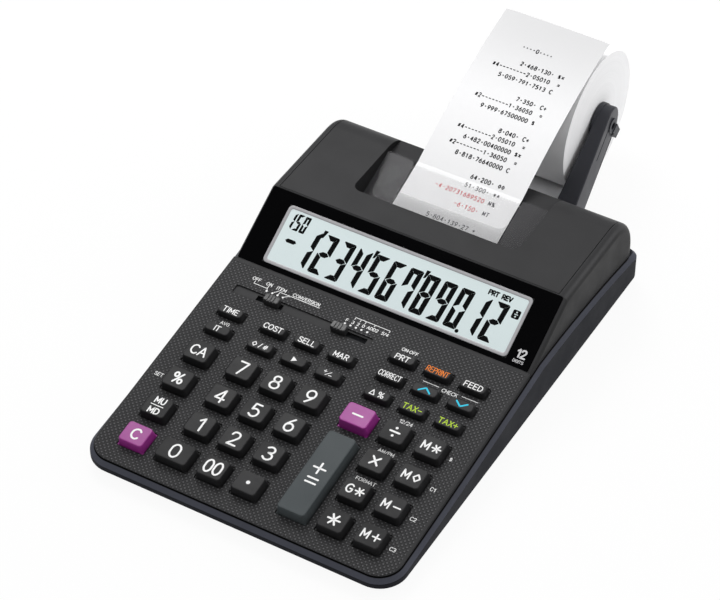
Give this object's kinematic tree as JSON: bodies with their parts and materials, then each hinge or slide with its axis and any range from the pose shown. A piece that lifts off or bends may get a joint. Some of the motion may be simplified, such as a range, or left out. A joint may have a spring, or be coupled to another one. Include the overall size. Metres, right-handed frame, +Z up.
{
  "type": "desk printing calculator",
  "caption": "Wedge-shaped desk calculator with a tilted display, a field of press keys, slide switches, a lift-off printer cover and a paper roll on folding arms.",
  "frame": {"origin": "on the table, under the middle of the overall bounding box", "axes": "+X to the user's right, +Y from the front edge of the case towards the paper roll, +Z up"},
  "size_m": [0.165, 0.336, 0.081],
  "materials": {
    "key_dark": "satin dark moulding with white printed legend",
    "key_purple": "satin purple moulding",
    "key_grey": "satin grey moulding",
    "lower_shell": "fine grained dark blue-grey",
    "upper_shell": "dark grey, woven dot texture on the key field, smooth elsewhere",
    "window": "gloss black",
    "lcd": "pale grey-green display with a silver frame",
    "board": "green solder mask",
    "rubber_mat": "grey silicone",
    "foot": "black rubber",
    "switch": "black, ribbed",
    "clear_plate": "smoked clear",
    "arm": "fine grained dark blue-grey",
    "paper": "white, matt",
    "mechanism": "black moulding"
  },
  "bodies": {
    "case": {"lower_case": "lower_shell", "upper_case": "upper_shell", "display_window": "window", "lcd_panel": "lcd", "circuit_board": "board", "key_mat": "rubber_mat", "printer_mechanism": "mechanism", "rubber_feet": "foot"},
    "key_clear": {"key_clear": "key_purple"},
    "key_mark_up": {"key_mark_up": "key_dark"},
    "key_percent": {"key_percent": "key_dark"},
    "key_clear_all": {"key_clear_all": "key_dark"},
    "key_item_average": {"key_item_average": "key_dark"},
    "key_time": {"key_time": "key_dark"},
    "key_0": {"key_0": "key_dark"},
    "key_1": {"key_1": "key_dark"},
    "key_4": {"key_4": "key_dark"},
    "key_7": {"key_7": "key_dark"},
    "key_non_add": {"key_non_add": "key_dark"},
    "key_cost": {"key_cost": "key_dark"},
    "key_00": {"key_00": "key_dark"},
    "key_2": {"key_2": "key_dark"},
    "key_5": {"key_5": "key_dark"},
    "key_8": {"key_8": "key_dark"},
    "key_backspace": {"key_backspace": "key_dark"},
    "key_sell": {"key_sell": "key_dark"},
    "key_point": {"key_point": "key_dark"},
    "key_3": {"key_3": "key_dark"},
    "key_6": {"key_6": "key_dark"},
    "key_9": {"key_9": "key_dark"},
    "key_sign_change": {"key_sign_change": "key_dark"},
    "key_margin": {"key_margin": "key_dark"},
    "key_plus_equals": {"key_plus_equals": "key_grey"},
    "key_minus": {"key_minus": "key_purple"},
    "key_delta_percent": {"key_delta_percent": "key_dark"},
    "key_correct": {"key_correct": "key_dark"},
    "key_print": {"key_print": "key_dark"},
    "key_total": {"key_total": "key_dark"},
    "key_grand_total": {"key_grand_total": "key_dark"},
    "key_multiply": {"key_multiply": "key_dark"},
    "key_divide": {"key_divide": "key_dark"},
    "key_tax_minus": {"key_tax_minus": "key_dark"},
    "key_check_up": {"key_check_up": "key_dark"},
    "key_reprint": {"key_reprint": "key_dark"},
    "key_memory_plus": {"key_memory_plus": "key_dark"},
    "key_memory_minus": {"key_memory_minus": "key_dark"},
    "key_memory_subtotal": {"key_memory_subtotal": "key_dark"},
    "key_memory_total": {"key_memory_total": "key_dark"},
    "key_tax_plus": {"key_tax_plus": "key_dark"},
    "key_check_down": {"key_check_down": "key_dark"},
    "key_feed": {"key_feed": "key_dark"},
    "power_switch": {"power_switch": "switch"},
    "decimal_switch": {"decimal_switch": "switch"},
    "cover": {"printer_cover": "upper_shell", "tear_plate": "clear_plate"},
    "arms": {"paper_arms": "arm"},
    "roll": {"paper_roll": "paper"},
    "feed": {"feed_roller": "foot"},
    "strip": {"paper_strip": "paper"},
    "hatch": {"battery_cover": "lower_shell"}
  },
  "joints": [
    {"name": "key_clear_press", "type": "slide", "parent": "case", "child": "key_clear", "axis": [0, 0.1392, -0.9903], "range_m": [0, 0.002], "stiffness_N_per_m": 250, "springref_m": -0.0008},
    {"name": "key_mark_up_press", "type": "slide", "parent": "case", "child": "key_mark_up", "axis": [0, 0.1392, -0.9903], "range_m": [0, 0.002], "stiffness_N_per_m": 250, "springref_m": -0.0008},
    {"name": "key_percent_press", "type": "slide", "parent": "case", "child": "key_percent", "axis": [0, 0.1392, -0.9903], "range_m": [0, 0.002], "stiffness_N_per_m": 250, "springref_m": -0.0008},
    {"name": "key_clear_all_press", "type": "slide", "parent": "case", "child": "key_clear_all", "axis": [0, 0.1392, -0.9903], "range_m": [0, 0.002], "stiffness_N_per_m": 250, "springref_m": -0.0008},
    {"name": "key_item_average_press", "type": "slide", "parent": "case", "child": "key_item_average", "axis": [0, 0.1392, -0.9903], "range_m": [0, 0.002], "stiffness_N_per_m": 250, "springref_m": -0.0008},
    {"name": "key_time_press", "type": "slide", "parent": "case", "child": "key_time", "axis": [0, 0.1392, -0.9903], "range_m": [0, 0.002], "stiffness_N_per_m": 250, "springref_m": -0.0008},
    {"name": "key_0_press", "type": "slide", "parent": "case", "child": "key_0", "axis": [0, 0.1392, -0.9903], "range_m": [0, 0.002], "stiffness_N_per_m": 250, "springref_m": -0.0008},
    {"name": "key_1_press", "type": "slide", "parent": "case", "child": "key_1", "axis": [0, 0.1392, -0.9903], "range_m": [0, 0.002], "stiffness_N_per_m": 250, "springref_m": -0.0008},
    {"name": "key_4_press", "type": "slide", "parent": "case", "child": "key_4", "axis": [0, 0.1392, -0.9903], "range_m": [0, 0.002], "stiffness_N_per_m": 250, "springref_m": -0.0008},
    {"name": "key_7_press", "type": "slide", "parent": "case", "child": "key_7", "axis": [0, 0.1392, -0.9903], "range_m": [0, 0.002], "stiffness_N_per_m": 250, "springref_m": -0.0008},
    {"name": "key_non_add_press", "type": "slide", "parent": "case", "child": "key_non_add", "axis": [0, 0.1392, -0.9903], "range_m": [0, 0.002], "stiffness_N_per_m": 250, "springref_m": -0.0008},
    {"name": "key_cost_press", "type": "slide", "parent": "case", "child": "key_cost", "axis": [0, 0.1392, -0.9903], "range_m": [0, 0.002], "stiffness_N_per_m": 250, "springref_m": -0.0008},
    {"name": "key_00_press", "type": "slide", "parent": "case", "child": "key_00", "axis": [0, 0.1392, -0.9903], "range_m": [0, 0.002], "stiffness_N_per_m": 250, "springref_m": -0.0008},
    {"name": "key_2_press", "type": "slide", "parent": "case", "child": "key_2", "axis": [0, 0.1392, -0.9903], "range_m": [0, 0.002], "stiffness_N_per_m": 250, "springref_m": -0.0008},
    {"name": "key_5_press", "type": "slide", "parent": "case", "child": "key_5", "axis": [0, 0.1392, -0.9903], "range_m": [0, 0.002], "stiffness_N_per_m": 250, "springref_m": -0.0008},
    {"name": "key_8_press", "type": "slide", "parent": "case", "child": "key_8", "axis": [0, 0.1392, -0.9903], "range_m": [0, 0.002], "stiffness_N_per_m": 250, "springref_m": -0.0008},
    {"name": "key_backspace_press", "type": "slide", "parent": "case", "child": "key_backspace", "axis": [0, 0.1392, -0.9903], "range_m": [0, 0.002], "stiffness_N_per_m": 250, "springref_m": -0.0008},
    {"name": "key_sell_press", "type": "slide", "parent": "case", "child": "key_sell", "axis": [0, 0.1392, -0.9903], "range_m": [0, 0.002], "stiffness_N_per_m": 250, "springref_m": -0.0008},
    {"name": "key_point_press", "type": "slide", "parent": "case", "child": "key_point", "axis": [0, 0.1392, -0.9903], "range_m": [0, 0.002], "stiffness_N_per_m": 250, "springref_m": -0.0008},
    {"name": "key_3_press", "type": "slide", "parent": "case", "child": "key_3", "axis": [0, 0.1392, -0.9903], "range_m": [0, 0.002], "stiffness_N_per_m": 250, "springref_m": -0.0008},
    {"name": "key_6_press", "type": "slide", "parent": "case", "child": "key_6", "axis": [0, 0.1392, -0.9903], "range_m": [0, 0.002], "stiffness_N_per_m": 250, "springref_m": -0.0008},
    {"name": "key_9_press", "type": "slide", "parent": "case", "child": "key_9", "axis": [0, 0.1392, -0.9903], "range_m": [0, 0.002], "stiffness_N_per_m": 250, "springref_m": -0.0008},
    {"name": "key_sign_change_press", "type": "slide", "parent": "case", "child": "key_sign_change", "axis": [0, 0.1392, -0.9903], "range_m": [0, 0.002], "stiffness_N_per_m": 250, "springref_m": -0.0008},
    {"name": "key_margin_press", "type": "slide", "parent": "case", "child": "key_margin", "axis": [0, 0.1392, -0.9903], "range_m": [0, 0.002], "stiffness_N_per_m": 250, "springref_m": -0.0008},
    {"name": "key_plus_equals_press", "type": "slide", "parent": "case", "child": "key_plus_equals", "axis": [0, 0.1392, -0.9903], "range_m": [0, 0.002], "stiffness_N_per_m": 250, "springref_m": -0.0008},
    {"name": "key_minus_press", "type": "slide", "parent": "case", "child": "key_minus", "axis": [0, 0.1392, -0.9903], "range_m": [0, 0.002], "stiffness_N_per_m": 250, "springref_m": -0.0008},
    {"name": "key_delta_percent_press", "type": "slide", "parent": "case", "child": "key_delta_percent", "axis": [0, 0.1392, -0.9903], "range_m": [0, 0.002], "stiffness_N_per_m": 250, "springref_m": -0.0008},
    {"name": "key_correct_press", "type": "slide", "parent": "case", "child": "key_correct", "axis": [0, 0.1392, -0.9903], "range_m": [0, 0.002], "stiffness_N_per_m": 250, "springref_m": -0.0008},
    {"name": "key_print_press", "type": "slide", "parent": "case", "child": "key_print", "axis": [0, 0.1392, -0.9903], "range_m": [0, 0.002], "stiffness_N_per_m": 250, "springref_m": -0.0008},
    {"name": "key_total_press", "type": "slide", "parent": "case", "child": "key_total", "axis": [0, 0.1392, -0.9903], "range_m": [0, 0.002], "stiffness_N_per_m": 250, "springref_m": -0.0008},
    {"name": "key_grand_total_press", "type": "slide", "parent": "case", "child": "key_grand_total", "axis": [0, 0.1392, -0.9903], "range_m": [0, 0.002], "stiffness_N_per_m": 250, "springref_m": -0.0008},
    {"name": "key_multiply_press", "type": "slide", "parent": "case", "child": "key_multiply", "axis": [0, 0.1392, -0.9903], "range_m": [0, 0.002], "stiffness_N_per_m": 250, "springref_m": -0.0008},
    {"name": "key_divide_press", "type": "slide", "parent": "case", "child": "key_divide", "axis": [0, 0.1392, -0.9903], "range_m": [0, 0.002], "stiffness_N_per_m": 250, "springref_m": -0.0008},
    {"name": "key_tax_minus_press", "type": "slide", "parent": "case", "child": "key_tax_minus", "axis": [0, 0.1392, -0.9903], "range_m": [0, 0.002], "stiffness_N_per_m": 250, "springref_m": -0.0008},
    {"name": "key_check_up_press", "type": "slide", "parent": "case", "child": "key_check_up", "axis": [0, 0.1392, -0.9903], "range_m": [0, 0.002], "stiffness_N_per_m": 250, "springref_m": -0.0008},
    {"name": "key_reprint_press", "type": "slide", "parent": "case", "child": "key_reprint", "axis": [0, 0.1392, -0.9903], "range_m": [0, 0.002], "stiffness_N_per_m": 250, "springref_m": -0.0008},
    {"name": "key_memory_plus_press", "type": "slide", "parent": "case", "child": "key_memory_plus", "axis": [0, 0.1392, -0.9903], "range_m": [0, 0.002], "stiffness_N_per_m": 250, "springref_m": -0.0008},
    {"name": "key_memory_minus_press", "type": "slide", "parent": "case", "child": "key_memory_minus", "axis": [0, 0.1392, -0.9903], "range_m": [0, 0.002], "stiffness_N_per_m": 250, "springref_m": -0.0008},
    {"name": "key_memory_subtotal_press", "type": "slide", "parent": "case", "child": "key_memory_subtotal", "axis": [0, 0.1392, -0.9903], "range_m": [0, 0.002], "stiffness_N_per_m": 250, "springref_m": -0.0008},
    {"name": "key_memory_total_press", "type": "slide", "parent": "case", "child": "key_memory_total", "axis": [0, 0.1392, -0.9903], "range_m": [0, 0.002], "stiffness_N_per_m": 250, "springref_m": -0.0008},
    {"name": "key_tax_plus_press", "type": "slide", "parent": "case", "child": "key_tax_plus", "axis": [0, 0.1392, -0.9903], "range_m": [0, 0.002], "stiffness_N_per_m": 250, "springref_m": -0.0008},
    {"name": "key_check_down_press", "type": "slide", "parent": "case", "child": "key_check_down", "axis": [0, 0.1392, -0.9903], "range_m": [0, 0.002], "stiffness_N_per_m": 250, "springref_m": -0.0008},
    {"name": "key_feed_press", "type": "slide", "parent": "case", "child": "key_feed", "axis": [0, 0.1392, -0.9903], "range_m": [0, 0.002], "stiffness_N_per_m": 250, "springref_m": -0.0008},
    {"name": "power_switch_slide", "type": "slide", "parent": "case", "child": "power_switch", "axis": [1, 0, 0], "range_m": [-0.006, 0.003]},
    {"name": "decimal_switch_slide", "type": "slide", "parent": "case", "child": "decimal_switch", "axis": [1, 0, 0], "range_m": [0, 0.012]},
    {"name": "cover_lift", "type": "slide", "parent": "case", "child": "cover", "axis": [0, 0, 1], "range_m": [0, 0.03]},
    {"name": "arm_fold", "type": "hinge", "parent": "case", "child": "arms", "pos_m": [0, 0.0866, 0.0126], "axis": [1, 0, 0], "range_deg": [0, 30]},
    {"name": "roll_spin", "type": "hinge", "parent": "arms", "child": "roll", "pos_m": [0, 0.1315, 0.039], "axis": [1, 0, 0], "continuous": true},
    {"name": "feed_spin", "type": "hinge", "parent": "case", "child": "feed", "pos_m": [0, 0.024, 0.026], "axis": [1, 0, 0], "continuous": true},
    {"name": "strip_swing", "type": "hinge", "parent": "cover", "child": "strip", "pos_m": [0, 0.052, 0.0456], "axis": [1, 0, 0], "range_deg": [0, 30]},
    {"name": "hatch_slide", "type": "slide", "parent": "case", "child": "hatch", "axis": [0, 1, 0], "range_m": [0, 0.034]}
  ],
  "couplings": [
    {"joint": "feed_spin", "follows": "roll_spin", "ratio": 6.6364},
    {"joint": "strip_swing", "follows": "arm_fold", "ratio": 1}
  ]
}
